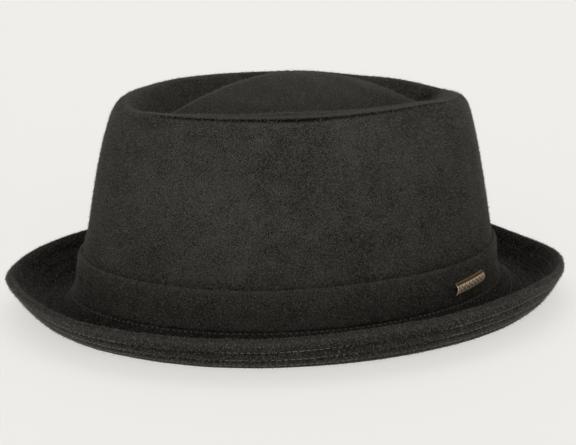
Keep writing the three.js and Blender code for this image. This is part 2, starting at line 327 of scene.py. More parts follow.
class HatForm:
    """The hat's surfaces, worked out from the sizes that the user may change."""

    def __init__(self, scene):
        self.crown, self.brim = crown, brim = scene.hat_crown, scene.hat_brim
        self.band, self.plate = scene.hat_band, scene.hat_plate
        self.gap = crown.sewn_gap
        self.thickness = 2 * brim.ply + self.gap
        self.foot = brim.root_height + self.thickness + self.gap
        self.setback = (brim.reach[0] - brim.reach[2]) / 2
        self.halves = (crown.base_length / 2, crown.base_width / 2, crown.base_length / 2)

    def oval(self, sizes, angle):
        """Points on an oval round the crown's axis, with its sizes at the front, sides and back."""
        cosine = np.cos(angle)
        along = np.where(cosine > 0, sizes[0], sizes[2])
        return np.stack([sizes[1] * np.sin(angle), self.setback - along * cosine], -1)

    def crown_oval(self, added, angle):
        """The oval of the crown's foot, with lengths added at the front, the sides and the back."""
        return self.oval([half + more for half, more in zip(self.halves, added)], angle)

    def away(self, angle):
        """The way straight out from the wall, round the hat."""
        ahead = self.crown_oval(NO_LENGTHS, angle + 0.001)
        course = ahead - self.crown_oval(NO_LENGTHS, angle - 0.001)
        course /= np.linalg.norm(course, axis=1)[:, None]
        return np.column_stack([course[:, 1], -course[:, 0]])

    def wall_height(self, angle):
        return self.crown.side_height * around(TOP_STATIONS, 1, angle)

    def wall(self, angle, part, out):
        """The side wall's outer face at a share of its height, moved outwards by a distance."""
        crown = self.crown
        lean = part**crown.lean_power
        shoulder = part**crown.shoulder_power
        added = [out - a * lean - b * shoulder for a, b in zip(crown.lean, crown.shoulder)]
        height = self.foot + self.wall_height(angle) * part
        return np.concatenate([self.crown_oval(added, angle), height[..., None]], -1)

    def beside_wall(self, angle, height, out):
        """A point beside the side wall, at a height over the brim."""
        place = self.wall(angle, unit(height / self.wall_height(angle)), out)
        place[..., 2] = self.foot + height
        return place

    def sewn(self, angle):
        """How much of the seam shows round the hat. The nap covers it at the front and the back."""
        degrees = folded(angle)
        shown = unit((degrees - 8) / 22) * np.clip((166 - degrees) / 36, 0.3, 1)
        return 0.02 + 0.98 * shown * shown * (3 - 2 * shown)

    def at_seam(self, sewn, puckers, distance):
        """How far the cloth puckers out near the seam, and how far its edge turns in."""
        turned = unit(1 - distance / self.crown.seam_round)
        gather = sewn * self.crown.pucker * (0.4 + puckers) * dip(distance, 2.6 * MM)
        return gather, sewn * self.crown.seam_round * (1 - np.sqrt(1 - turned**2 * 0.98))

    @staticmethod
    def front(angle):
        """1 at the front, a little to the wearer's right, falling to 0 towards the sides."""
        return unit(np.cos(angle + radians(26))) ** 6

    def climb(self, angle):
        """How far past the wall's top the seam lies, up the rolled rim."""
        return self.crown.seam_climb * np.maximum(0, around(TOP_STATIONS, 4, angle))

    def over_rim(self, angle):
        """The crown's outer face at even places past the wall's top."""
        places = np.arange(0, 29) * 0.5 * MM
        tip, _ = self.tip_lines(angle)
        wanted = np.broadcast_to(places[:, None], (len(places), len(angle)))
        return places, read_along(tip, lengths(tip), wanted)

    def corner(self, angle):
        """Places along the crown's profile, below and past the seam, and how far the cloth moves
        there as its corner is rounded, most at the front and the back."""
        past, over = self.over_rim(angle)
        step = past[1]
        below = np.arange(40, 0, -1) * step
        wall = [self.wall(angle, 1 - b / self.wall_height(angle), 0.0) for b in below]
        profile = np.concatenate([np.array(wall), over])
        side = 15
        kernel = np.exp(-0.5 * (np.arange(-side, side + 1) * step / self.crown.corner_round) ** 2)
        kernel /= kernel.sum()
        around_it = ((side, side), (0, 0), (0, 0))
        padded = np.pad(profile, around_it, mode="reflect", reflect_type="odd")
        soft = sum(w * padded[k : k + len(profile)] for k, w in enumerate(kernel))
        places = np.concatenate([-below, past])
        window = unit((places + 18 * MM) / (8 * MM)) * unit((13 * MM - places) / (5 * MM))
        most = 0.45 + 0.55 * np.cos(angle) ** 2
        return places, (soft - profile) * window[:, None, None] * most[None, :, None]

    def diamond(self, angle):
        """The bottom of the groove, round the diamond's foot."""
        crown = self.crown
        sizes = zip(self.halves, crown.lean, crown.shoulder, crown.groove)
        front, side, back = (half - a - b - c for half, a, b, c in sizes)
        along = np.where(np.cos(angle) > 0, front, back)
        power = crown.diamond_roundness
        sine, cosine = np.abs(np.sin(angle)) / side, np.abs(np.cos(angle)) / along
        spread = (sine**power + cosine**power) ** (-1 / power)
        return self.oval((spread, spread, spread), angle)

    def tip_lines(self, angle):
        """The tip's outer face from the seam over the rim and the groove to its middle."""
        crown = self.crown
        seam = self.wall(angle, np.ones_like(angle), 0.0)
        seam[:, 2] += self.gap
        drawn_in = [-a - b - c for a, b, c in zip(crown.lean, crown.shoulder, crown.roll)]
        crest = self.crown_oval(drawn_in, angle)
        crest_z = seam[:, 2] + crown.tip_cloth + crown.rim_lift * around(TOP_STATIONS, 3, angle)
        groove = self.diamond(angle)
        side_crest = self.foot + crown.side_height + self.gap + crown.tip_cloth + crown.rim_lift
        groove_z = side_crest - crown.groove_depth * around(TOP_STATIONS, 2, angle)
        middle_z = side_crest + crown.diamond_rise
        middle = np.array([0, self.setback])
        lines = []

        def line(start, end, part, start_z, end_z, risen):
            flat = start + (end - start) * part
            lines.append(np.column_stack([flat, start_z + (end_z - start_z) * risen]))

        for part in np.linspace(0, 1, ROLL + 1) ** 1.5:
            turned = part * pi / 2
            line(crest, seam[:, :2], cos(turned), seam[:, 2], crest_z, sin(turned))
        for part in np.linspace(0, 1, FALL + 1)[1:]:
            line(crest, groove, part, crest_z, groove_z, (1 - cos(pi * part)) / 2)
        for part in np.linspace(0, 1, FLANK + 1)[1:-1]:
            climbed = 1 - (1 - part) ** crown.diamond_fullness
            line(groove, middle, part, groove_z, middle_z, climbed)
        return np.array(lines), np.array([*middle, middle_z])

    def brim_faces(self, angle, reach_in, reach_root):
        """The brim's two faces at one angle, sampled at distances from the edge.

        reach_in holds fixed distances and reach_root shares of what is left to the crown. Gives
        the outward direction's start and course, and each face as rows of distance out, height,
        tilt out, tilt up and distance from the edge.
        """
        brim = self.brim
        one = np.array([angle])
        foot = self.crown_oval(NO_LENGTHS, one)[0]
        course = self.crown_oval(brim.reach, one)[0] - foot
        reach = hypot(*course)
        rise = brim.rise * around(BRIM_STATIONS, 1, one)[0]
        rest = reach * around(BRIM_STATIONS, 2, one)[0]
        curl = around(BRIM_STATIONS, 3, one)[0]
        root = self.gap + self.band.cloth + brim.root_ledge
        run = rest - root
        t = np.linspace(0, 1, 50)[:, None]
        bend = [
            (root, brim.root_height),
            (root + 0.35 * run, 0.6 * brim.root_height),
            (rest - 0.4 * run, 0),
            (rest, 0),
        ]
        drop = sum(
            comb(3, k) * (1 - t) ** (3 - k) * t**k * np.array(place)
            for k, place in enumerate(bend)
        )
        s = np.linspace(0, 1, 100)
        start = rest + brim.rest_width
        curled = np.column_stack([start + (reach - start) * s, rise * s**curl])
        under = np.vstack([[(-self.crown.side_cloth, brim.root_height)], drop, curled])
        before = np.vstack([under[:1], under[:-1]])
        after = np.vstack([under[1:], under[-1:]])
        normal = np.column_stack([before[:, 1] - after[:, 1], after[:, 0] - before[:, 0]])
        normal /= np.linalg.norm(normal, axis=1)[:, None]
        faces = []
        for offset in (0.0, self.thickness):
            line = under + normal * offset
            along = np.concatenate([[0], np.cumsum(np.hypot(*np.diff(line, axis=0).T))])
            whole = along[-1]
            wanted = np.concatenate([reach_in, reach_in[-1] + (whole - reach_in[-1]) * reach_root])
            read = [np.interp(whole - wanted, along, values) for values in (*line.T, *normal.T)]
            faces.append(np.column_stack([*read, wanted]))
        return foot, course / reach, *faces

    def stitch_rows(self):
        """Distances of the rows of stitches from the brim's edge."""
        return [self.brim.first_row + i * self.brim.row_pitch for i in range(self.brim.rows)]

    def quilt(self, distance, way):
        """How far the brim's face stands out at distances from the edge, and how deep in a row.

        The way is -1 on the underside and 1 on the upper side, where the rows are shallower.
        """
        brim = self.brim
        depth = brim.quilt * (1.0 if way < 0 else 0.4)
        row = sum((dip(distance - r, brim.quilt_width) for r in self.stitch_rows()), 0 * distance)
        edge = brim.edge_thin * unit(1 - distance / brim.edge_run) ** 1.5
        return 0.25 * depth - depth * row - edge, row

    def plate_face(self, u, v, out):
        """The plate's outer face, u along it and v across, moved outwards by a distance."""
        plate = self.plate
        on_band = self.gap + self.band.cloth
        probe = np.radians(np.array([-1.0, 1.0]))
        ends = self.beside_wall(plate.place + probe, np.full(2, plate.stand), on_band)
        per_radian = np.linalg.norm(ends[1] - ends[0]) / radians(2)
        height = plate.stand + v * cos(plate.tilt) + u * sin(plate.tilt)
        run = u * cos(plate.tilt) - v * sin(plate.tilt)
        stand = plate.bulge * np.cos(np.pi * v / plate.width)
        out = 2 * self.gap + self.band.cloth + stand + out
        return self.beside_wall(plate.place + run / per_radian, height, out)


def overload(operation):
    """An operator of Value, and its reflected form."""
    return (
        lambda self, other: self.math(operation, self, other),
        lambda self, other: self.math(operation, other, self),
    )


class Value:
    """A number in a material or a tree of nodes. Sums and products of it add Math nodes."""

    __add__, __radd__ = overload("ADD")
    __sub__, __rsub__ = overload("SUBTRACT")
    __mul__, __rmul__ = overload("MULTIPLY")

    def __init__(self, nodes, socket):
        self.nodes, self.socket = nodes, socket

    def math(self, operation, *values):
        node = self.nodes.add("ShaderNodeMath", dict(enumerate(values)), operation=operation)
        return Value(self.nodes, node.outputs[0])

    def clamped(self):
        return self.math("MINIMUM", self.math("MAXIMUM", self, 0.0), 1.0)

    def over(self, low, high):
        """0 up to low, 1 from high on, even in between."""
        return ((self - low) * (1 / (high - low))).clamped()


class Nodes:
    """A tree of nodes that is being built."""

    def __init__(self, tree):
        self.tree = tree

    def add(self, kind, inputs=None, **settings):
        """Any node, with its settings, and the values or links of its sockets."""
        node = self.tree.nodes.new(kind)
        for name, setting in settings.items():
            setattr(node, name, setting)
        self.feed(node, inputs or {})
        return node

    def feed(self, node, inputs):
        """Sets a node's sockets to values, or links them to a value, a socket or a node."""
        for name, given in inputs.items():
            if isinstance(given, Value):
                given = given.socket
            if isinstance(given, bpy.types.Node):
                given = given.outputs[0]
            if isinstance(given, bpy.types.NodeSocket):
                self.tree.links.new(given, node.inputs[name])
            else:
                node.inputs[name].default_value = given

    def place(self, space="Object"):
        """Where a point of the surface is."""
        return self.add("ShaderNodeTexCoord").outputs[space]

    def noise(self, place, scale, detail, roughness):
        """Soft noise from 0 to 1 about spots of one scale, in metres."""
        inputs = {"Vector": place, "Scale": 1 / scale, "Detail": detail, "Roughness": roughness}
        node = self.add("ShaderNodeTexNoise", inputs, noise_dimensions="3D")
        return Value(self, node.outputs["Fac"])

    def attribute(self, name):
        """A number that the mesh carries at its points."""
        return Value(self, self.add("ShaderNodeAttribute", attribute_name=name).outputs["Fac"])

    def blend(self, part, first, second):
        """A colour between two, by a number from 0 to 1."""
        inputs = {0: part, 6: first, 7: second}
        return self.add("ShaderNodeMix", inputs, data_type="RGBA").outputs[2]

    def bump(self, strength, depth, height):
        """A surface raised by a height, for a Normal socket."""
        inputs = {"Strength": strength, "Distance": depth, "Height": height}
        return self.add("ShaderNodeBump", inputs)


def rgba(values, factor=1.0):
    """A colour for a socket, made lighter or darker by a factor."""
    return (*(min(1.0, v * factor) for v in values), 1.0)


def emptied(owner):
    """The nodes of a material or a world, with none in them yet."""
    owner.use_nodes = True
    owner.node_tree.nodes.clear()
    return Nodes(owner.node_tree)


def new_material(name):
    """An empty material: its nodes and its Principled shader."""
    material = bpy.data.materials.new(name)
    nodes = emptied(material)
    shader = nodes.add("ShaderNodeBsdfPrincipled")
    nodes.add("ShaderNodeOutputMaterial", {"Surface": shader})
    return material, nodes, shader


def wool(name, tone, cloth):
    """Milled wool flannel: tufts of nap, pale fibres, a mottled dye and a soft sheen."""
    material, nodes, shader = new_material(name)
    place = nodes.place()
    tufts = nodes.noise(place, cloth.speck, 3.0, 0.62)
    fuzz = nodes.noise(place, 0.5 * cloth.speck, 2.0, 0.6)
    patches = nodes.noise(place, 9 * cloth.speck, 3.0, 0.55)
    brushed = nodes.noise(place, 34 * MM, 1.0, 0.5)
    pale = nodes.noise(place, 0.55 * cloth.speck, 1.0, 0.5).over(0.6, 0.76)
    mottled = 0.75 * (patches - 0.5) + 0.6 * (brushed - 0.5)
    light = (0.49 + 2.2 * (tufts - 0.5) + 2.5 * (fuzz - 0.5) + mottled).clamped()
    cloth_colour = nodes.blend(light, rgba(tone, 0.2), rgba(tone, 1.95))
    # Pale flecks are loose fibres; the rub mark lightens the cloth with rubbed nap and painted
    # highlights.
    fibres = (0.55 * pale + 0.6 * nodes.attribute("worn")).clamped()
    flecked_rubbed_highlighted = nodes.blend(fibres, cloth_colour, rgba(tone, 3.0))
    # The seam mark darkens the cloth: dark lines at the seams, and painted shade by the band,
    # inside its fold and along the brim's rows.
    sewn = (0.9 * nodes.attribute("seam")).clamped()
    nodes.feed(shader, {
        "Base Color": nodes.blend(sewn, flecked_rubbed_highlighted, rgba(tone, 0.12)),
        "Normal": nodes.bump(0.75, 0.45 * MM, 0.6 * tufts + 0.4 * fuzz),
        "Roughness": 0.7 + 0.25 * fuzz,
        "Specular IOR Level": 0.05,
        "Sheen Weight": cloth.sheen,
        "Sheen Roughness": 0.07,
        "Sheen Tint": (0.95, 0.93, 0.89, 1.0),
    })
    return material


def yarn(name, tone, roughness):
    """Thread or a loose fibre, a little uneven in its dye."""
    material, nodes, shader = new_material(name)
    dye = nodes.noise(nodes.place(), 2.5 * MM, 2.0, 0.5).over(0.3, 0.7)
    nodes.feed(shader, {
        "Base Color": nodes.blend(dye, rgba(tone, 0.7), rgba(tone, 1.3)),
        "Roughness": roughness,
        "Specular IOR Level": 0.3,
    })
    return material


def brass(name, plate):
    """Antique brass: satin on its high places, dark in its recesses, with fine scratches."""
    material, nodes, shader = new_material(name)
    place = nodes.place()
    recess = nodes.attribute("recess")
    # The plate's upper long edge is amber.
    amber_edged = nodes.blend(nodes.attribute("tarnish"), rgba(plate.metal), rgba(plate.amber))
    spots = nodes.noise(place, 1.6 * MM, 3.0, 0.6)
    long_way = nodes.add("ShaderNodeMapping", {"Vector": place, "Scale": (1.0, 1.0, 9.0)})
    scratches = nodes.noise(long_way, 1.2 * MM, 2.0, 0.6)
    dark = (recess + 0.35 * spots.over(0.5, 0.75)).clamped()
    nodes.feed(shader, {
        "Base Color": nodes.blend(dark, amber_edged, rgba(plate.patina)),
        "Metallic": 0.3 - 0.2 * recess,
        "Roughness": (0.32 + 0.2 * spots + 0.3 * recess).clamped(),
        "Normal": nodes.bump(0.3, 0.05 * MM, scratches),
    })
    return material


def ring_faces(rows, columns):
    """The four-sided faces between rings of points, the last ring joined to the first."""
    row, here = np.arange(rows)[:, None], np.arange(columns)[None, :]
    lower, upper = row * columns, (row + 1) % rows * columns
    ahead = (here + 1) % columns
    return np.stack([lower + here, lower + ahead, upper + ahead, upper + here], -1).reshape(-1, 4)


def new_object(name, data):
    """An object in the scene."""
    obj = bpy.data.objects.new(name, data)
    bpy.context.scene.collection.objects.link(obj)
    return obj


def new_piece(name, points, faces, material, numbers):
    """A smooth mesh object with one material and numbers at its points."""
    mesh = bpy.data.meshes.new(name)
    mesh.from_pydata(points.tolist(), [], faces if isinstance(faces, list) else faces.tolist())
    for label, values in numbers.items():
        kind, field = ("FLOAT_VECTOR", "vector") if values.ndim == 2 else ("FLOAT", "value")
        data = mesh.attributes.new(label, kind, "POINT").data
        data.foreach_set(field, values.astype(np.float32).ravel())
    mesh.polygons.foreach_set("use_smooth", np.full(len(mesh.polygons), True))
    mesh.update()
    if material:
        mesh.materials.append(material)
    return new_object(name, mesh)


def outward(points, faces):
    """The same faces, turned round if they enclose a negative volume."""
    a, b, c, d = (points[faces[:, k]] for k in range(4))
    volume = (np.cross(a, b) * c).sum() + (np.cross(a, c) * d).sum()
    return faces if volume > 0 else faces[:, ::-1]


def finish_piece(obj, slot, *nodes):
    """The piece rides on the hat and stands for its solids."""
    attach(obj, "root")
    if nodes:
        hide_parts(*nodes)


def grown(source, tree, values):
    """Turns the source's mesh into what a tree of nodes makes of it."""
    modifier = source.modifiers.new("Made", "NODES")
    modifier.node_group = tree
    for item in tree.interface.items_tree:
        if item.item_type == "SOCKET" and item.in_out == "INPUT" and item.name in values:
            modifier[item.identifier] = values[item.name]
    graph = bpy.context.evaluated_depsgraph_get()
    made = bpy.data.meshes.new_from_object(source.evaluated_get(graph))
    old = source.data
    source.modifiers.clear()
    source.data = made
    bpy.data.meshes.remove(old)
    made.name = source.name


def new_tree(name, **sockets):
    """A tree of geometry nodes with named inputs: its nodes and its input's outputs by name."""
    tree = bpy.data.node_groups.new(name, "GeometryNodeTree")
    for label, kind in {"Geometry": "Geometry", **sockets, "Material": "Material"}.items():
        tree.interface.new_socket(label, in_out="INPUT", socket_type=f"NodeSocket{kind}")
    tree.interface.new_socket("Geometry", in_out="OUTPUT", socket_type="NodeSocketGeometry")
    nodes = Nodes(tree)
    return nodes, nodes.add("NodeGroupInput").outputs


def end_tree(nodes, given, placing):
    """Puts instances on points, makes them real, smooth and of one material, gives them out."""
    placed = nodes.add("GeometryNodeInstanceOnPoints", placing)
    real = nodes.add("GeometryNodeRealizeInstances", {"Geometry": placed})
    soft = nodes.add("GeometryNodeSetShadeSmooth", {"Geometry": real})
    inputs = {"Geometry": soft, "Material": given["Material"]}
    nodes.add("NodeGroupOutput", {"Geometry": nodes.add("GeometryNodeSetMaterial", inputs)})
    return nodes.tree


def stitch_tree():
    """A short arched thread on each point, lying along the row and standing on the cloth."""
    nodes, given = new_tree("Stitch rows", Length="Float", Thickness="Float")
    half = Value(nodes, given["Length"]) * 0.5
    thick = Value(nodes, given["Thickness"])

    def place(**axes):
        return nodes.add("ShaderNodeCombineXYZ", axes)

    def carried(name):
        inputs = {"Name": name}
        return nodes.add("GeometryNodeInputNamedAttribute", inputs, data_type="FLOAT_VECTOR")

    line = nodes.add("GeometryNodeCurveQuadraticBezier", {
        "Resolution": 3,
        "Start": place(X=0.0 - half, Z=-0.55 * thick),
        "Middle": place(Z=0.85 * thick),
        "End": place(X=half, Z=-0.55 * thick),
    })
    ring = nodes.add("GeometryNodeCurvePrimitiveCircle", {"Resolution": 4, "Radius": 0.5 * thick})
    inputs = {"Curve": line, "Profile Curve": ring, "Fill Caps": True}
    thread = nodes.add("GeometryNodeCurveToMesh", inputs)
    align = "FunctionNodeAlignRotationToVector"
    level = nodes.add(align, {"Vector": carried("along")}, axis="X")
    inputs = {"Rotation": level, "Vector": carried("out")}
    upright = nodes.add(align, inputs, axis="Z", pivot_axis="X")
    placing = {"Points": given["Geometry"], "Instance": thread, "Rotation": upright}
    return end_tree(nodes, given, placing)


def nap_tree():
    """Loose fibres scattered over the cloth's outer faces, each leaning its own way."""
    nodes, given = new_tree("Nap", Density="Float", Length="Float", Thickness="Float", Seed="Int")
    seed = given["Seed"]
    hairy = nodes.add("GeometryNodeInputNamedAttribute", {"Name": "nap"}, data_type="FLOAT")
    density = Value(nodes, given["Density"]) * Value(nodes, hairy.outputs[0])
    inputs = {"Mesh": given["Geometry"], "Density": density, "Seed": seed}
    scattered = nodes.add(
        "GeometryNodeDistributePointsOnFaces", inputs, distribute_method="RANDOM"
    ).outputs
    inputs = {
        "Vertices": 3,
        "Side Segments": 1,
        "Radius Top": 0.0,
        "Radius Bottom": 0.5 * Value(nodes, given["Thickness"]),
        "Depth": given["Length"],
    }
    fibre = nodes.add("GeometryNodeMeshCone", inputs, fill_type="NONE")
    inputs = {0: (0.35, -0.25, 0.0), 1: (1.42, 0.25, TURN), "Seed": seed}
    lean = nodes.add("FunctionNodeRandomValue", inputs, data_type="FLOAT_VECTOR")
    leaning = nodes.add("FunctionNodeEulerToRotation", {"Euler": lean})
    inputs = {"Rotation": scattered["Rotation"], "Rotate By": leaning}
    turned = nodes.add("FunctionNodeRotateRotation", inputs, rotation_space="LOCAL")
    inputs = {2: 0.35, 3: 1.0, "Seed": seed}
    size = nodes.add("FunctionNodeRandomValue", inputs, data_type="FLOAT")
    return end_tree(nodes, given, {
        "Points": scattered["Points"],
        "Instance": fibre,
        "Rotation": turned,
        "Scale": size.outputs[1],
    })


def cloth_piece(scene, name, part, points, faces, marks, seed, *nodes):
    """A piece of cloth with its seam lines and painted shade, its rubbed nap and painted
    highlights, and its nap marked at its points, and its loose fibres as a piece of their own."""
    cloth, materials, slot = scene.hat_cloth, bpy.data.materials, f"{part}_cloth"
    label = f"{part} wool"
    material = materials.get(label) or wool(label, getattr(cloth, part), cloth)
    obj = new_piece(name, points, faces, material, dict(zip(("seam", "worn", "nap"), marks)))
    finish_piece(obj, slot, *nodes)
    fibres = new_object(f"{name}_nap", obj.data.copy())
    grown(fibres, bpy.data.node_groups.get("Nap") or nap_tree(), {
        "Density": cloth.nap_density,
        "Length": cloth.nap_length,
        "Thickness": cloth.nap_thickness,
        "Seed": seed,
        "Material": materials.get("loose wool") or yarn("loose wool", cloth.fibre, 0.9),
    })
    finish_piece(fibres, slot)


def cloth_rings(scene, name, part, rings, marks, seed, *nodes):
    """A piece of cloth from rings of points, the last one joined to the first, and their marks."""
    rings = np.array(rings)
    points = rings.reshape(-1, 3)
    faces = outward(points, ring_faces(*rings.shape[:2]))
    marks = np.array(marks).transpose(1, 0, 2).reshape(3, -1)
    cloth_piece(scene, name, part, points, faces, marks, seed, *nodes)


def add_stitches(scene, name, points, along, out, stitch_length, thickness):
    """A stitch on each point, as one piece."""
    source = new_piece(name, points, [], None, {"along": along, "out": out})
    thread = bpy.data.materials.get("thread") or yarn("thread", scene.hat_stitches.thread, 0.5)
    values = {"Length": stitch_length, "Thickness": thickness, "Material": thread}
    grown(source, bpy.data.node_groups.get("Stitch rows") or stitch_tree(), values)
    finish_piece(source, "brim_cloth")


class HAT_OT_crown_side(bpy.types.Operator):
    """Makes the oval side wall, with its cloth turned in at the seam"""

    bl_idname = "hat.crown_side"
    bl_label = "Crown side"

    def execute(self, context):
        form = HatForm(context.scene)
        crown, band = form.crown, form.band
        angle = angles(660)
        swell = ripple(angle, 2, 7, 3)
        small = ripple(angle, 9, 26, 4)
        puckers = ripple(angle, *PUCKERS)
        height, climb, sewn = form.wall_height(angle), form.climb(angle), form.sewn(angle)
        corner, rim = form.corner(angle), form.over_rim(angle)
        away, front = form.away(angle), form.front(angle)
        rings, marks = [], []

        def outer_face(below):
            """The outer face at a distance below the seam."""
            down = below - climb
            on_wall = form.wall(angle, unit(1 - down / height), 0.0)
            on_rim = read_at(*rim, -down)
            ring = np.where((down > 0)[:, None], on_wall, on_rim) + read_at(*corner, -down)
            above_band = np.maximum(0, height - down - band.height)
            bulge = 0.5 * band.front_flare * front * dip(above_band, 9 * MM)
            ring[:, :2] += away * bulge[:, None]
            return ring

        for part in 1 - np.linspace(1, 0, 46) ** 1.9:
            below = (1 - part) * (height + climb)
            free = unit((part - 0.18) / 0.3) * sin(pi * part) ** 0.8
            body = crown.waviness * (swell + 0.35 * small) * free
            gather, turned_in = form.at_seam(sewn, puckers, below)
            ring = outer_face(below)
            ring[:, :2] += away * (body + gather - turned_in)[:, None]
            rings.append(ring)
            # Painted shade on the crown just above the band's top edge, added to the dark line of
            # the seam.
            over_band = height + climb - below - band.height - 0.4 * MM
            shade = 0.32 * dip(np.maximum(over_band, 0), 1.8 * MM) + 0.12 * dip(over_band, 6 * MM)
            seam = 1.25 * sewn * dip(below, 0.9 * MM) + shade
            # Lighter just below the seam on the rolled rim: rubbed nap and a painted highlight.
            worn = 0.2 * sewn * dip(below - 1.6 * MM, 1.2 * MM)
            marks.append([seam, worn, np.ones_like(angle)])
        for part in 1 - np.linspace(0, 1, 12) ** 1.6:
            inner = outer_face((1 - part) * (height + climb))
            inner[:, :2] -= away * crown.side_cloth
            rings.append(inner)
            marks.append(np.zeros((3, len(angle))))
        cloth_rings(context.scene, "crown_wall", "crown", rings, marks, 11, "crown_side")
        return {"FINISHED"}


class HAT_OT_crown_tip(bpy.types.Operator):
    """Makes the tip: its rolled rim, its sunken groove and the raised diamond"""

    bl_idname = "hat.crown_tip"
    bl_label = "Crown tip"

    def execute(self, context):
        form = HatForm(context.scene)
        crown = form.crown
        angle = angles(440)
        count, groove = len(angle), ROLL + FALL
        lines, middle = form.tip_lines(angle)
        climb, sewn = form.climb(angle), form.sewn(angle)
        lines[: ROLL + 9] = begun_later(lines[: ROLL + 9], climb)
        foot = lines[groove - 7 : groove + 7, :, 2]
        for _ in range(10):
            foot[1:-1] = (foot[:-2] + 2 * foot[1:-1] + foot[2:]) / 4
        sunk = lines[ROLL + 4 :]
        for _ in range(6):
            sunk[:] = (np.roll(sunk, 1, axis=1) + 2 * sunk + np.roll(sunk, -1, axis=1)) / 4
        rows = np.arange(len(lines))[:, None]
        out = self.normals(lines, middle)
        puckers = ripple(angle, *PUCKERS)
        away = lengths(lines)
        gather, turned_in = form.at_seam(sewn, puckers, away)
        lines = lines + read_at(*form.corner(angle), away + climb)
        sway = 0.35 * crown.waviness * ripple(angle, 3, 12, 8) * np.sin(np.pi * rows / len(lines))
        outer = lines + out * (gather + sway - turned_in)[..., None]
        inner = lines - out * crown.tip_cloth
        inner[0] = lines[0] - out[0] * crown.side_cloth
        points = np.concatenate([outer.reshape(-1, 3), inner[::-1].reshape(-1, 3)])
        top = len(lines) - 1
        faces = ring_faces(2 * len(lines), count).reshape(-1, count, 4)
        faces = np.delete(faces, top, axis=0).reshape(-1, 4).tolist()
        here = np.arange(count)
        ahead = (here + 1) % count
        first, second = top * count, (top + 1) * count
        fans = ((first + here, first + ahead), (second + ahead, second + here))
        for peak, fan in enumerate(fans, len(points)):
            faces += np.column_stack([*fan, np.full(count, peak)]).tolist()
        points = np.concatenate([points, [middle, middle - (0, 0, crown.tip_cloth)]])
        # The rim's crest and the diamond's flank are painted lighter: rubbed nap and a painted
        # highlight.
        crest = 0.75 * dip(away - 2.2 * MM, 1.6 * MM)
        diamond_rub_and_highlight = 0.3 * unit((rows - groove - 2) / 10)
        marks = np.zeros((3, len(points)))
        marks[0, : away.size] = (1.25 * sewn * dip(away, 0.8 * MM)).ravel()
        marks[1, : away.size] = (crest + diamond_rub_and_highlight).ravel()
        marks[2, : away.size] = marks[2, -2] = 1
        cloth_piece(context.scene, "crown_top", "crown", points, faces, marks, 12, "crown_tip")
        return {"FINISHED"}

    @staticmethod
    def normals(lines, middle):
        """Outward normals of the tip's outer face at the points of its lines."""
        full = np.concatenate([lines, np.broadcast_to(middle, (1, *lines.shape[1:]))])
        along = np.gradient(full, axis=0)[:-1]
        across = np.roll(lines, -1, axis=1) - np.roll(lines, 1, axis=1)
        out = np.cross(across, along)
        return out / np.linalg.norm(out, axis=2)[..., None]


class HAT_OT_band(bpy.types.Operator):
    """Makes the band of the same cloth, with its folded edge and its soft crease"""

    bl_idname = "hat.band"
    bl_label = "Band"

    def execute(self, context):
        form = HatForm(context.scene)
        band = form.band
        angle = angles(720)
        away, front = form.away(angle), form.front(angle)
        slack = ripple(angle, 3, 9, 21)
        wrinkle = ripple(angle, 18, 40, 22)
        height = band.height + 0.25 * MM * ripple(angle, 2, 6, 23)
        rings, marks = [], []

        def ring(z, out, *mark):
            """A ring at a height over the foot and a distance out, with its painted shade, its
            rubbed nap and painted highlight, and its nap.
            """
            low = 1 - z / height
            place = form.beside_wall(angle, z, np.full_like(angle, form.gap))
            place[:, :2] += away * (out + band.front_flare * front * (0.45 + 0.55 * low))[:, None]
            place[:, 2] -= 0.5 * band.front_flare * front * low**2
            rings.append(place)
            marks.append([np.full_like(angle, value) for value in mark])

        edge, lip = 1.3 * MM, 0.2 * MM
        # The band's foot is painted dark: painted shade where it meets the brim.
        ring(0.0, 0.0, 0.6, 0, 0)
        for part in np.linspace(0, 1, 28):
            z = part * (height - edge)
            out = (
                band.cloth
                + band.flare * unit(1 - z / band.crease_height) ** 2
                - band.crease * dip(z - band.crease_height, 2.4 * MM)
                + band.fold * dip(height - edge - z, 1.6 * MM)
                + 0.22 * MM * slack * np.sin(np.pi * part)
                + 0.07 * MM * wrinkle * np.sin(np.pi * part)
            )
            # Painted shade near the foot, and towards the top rubbed nap with a painted highlight.
            ring(z, out, 0.5 * dip(part * band.height, 1.0 * MM), 0.2 * part**12, 1.3)
        for turned in np.linspace(0, pi, 9)[1:]:
            z = height - edge + edge * sin(turned)
            out = (band.cloth + band.fold + lip) * (0.5 + 0.5 * cos(turned)) - lip
            # Painted shade on the fold's inner side against the crown, and rubbed nap with a
            # painted highlight over the folded edge.
            ring(z, out, 0.5 * (turned > 2.5), 0.35 * sin(turned), 1.6 * (turned < 2))
        cloth_rings(context.scene, "hat_band", "band", rings, marks, 13, "band")
        return {"FINISHED"}


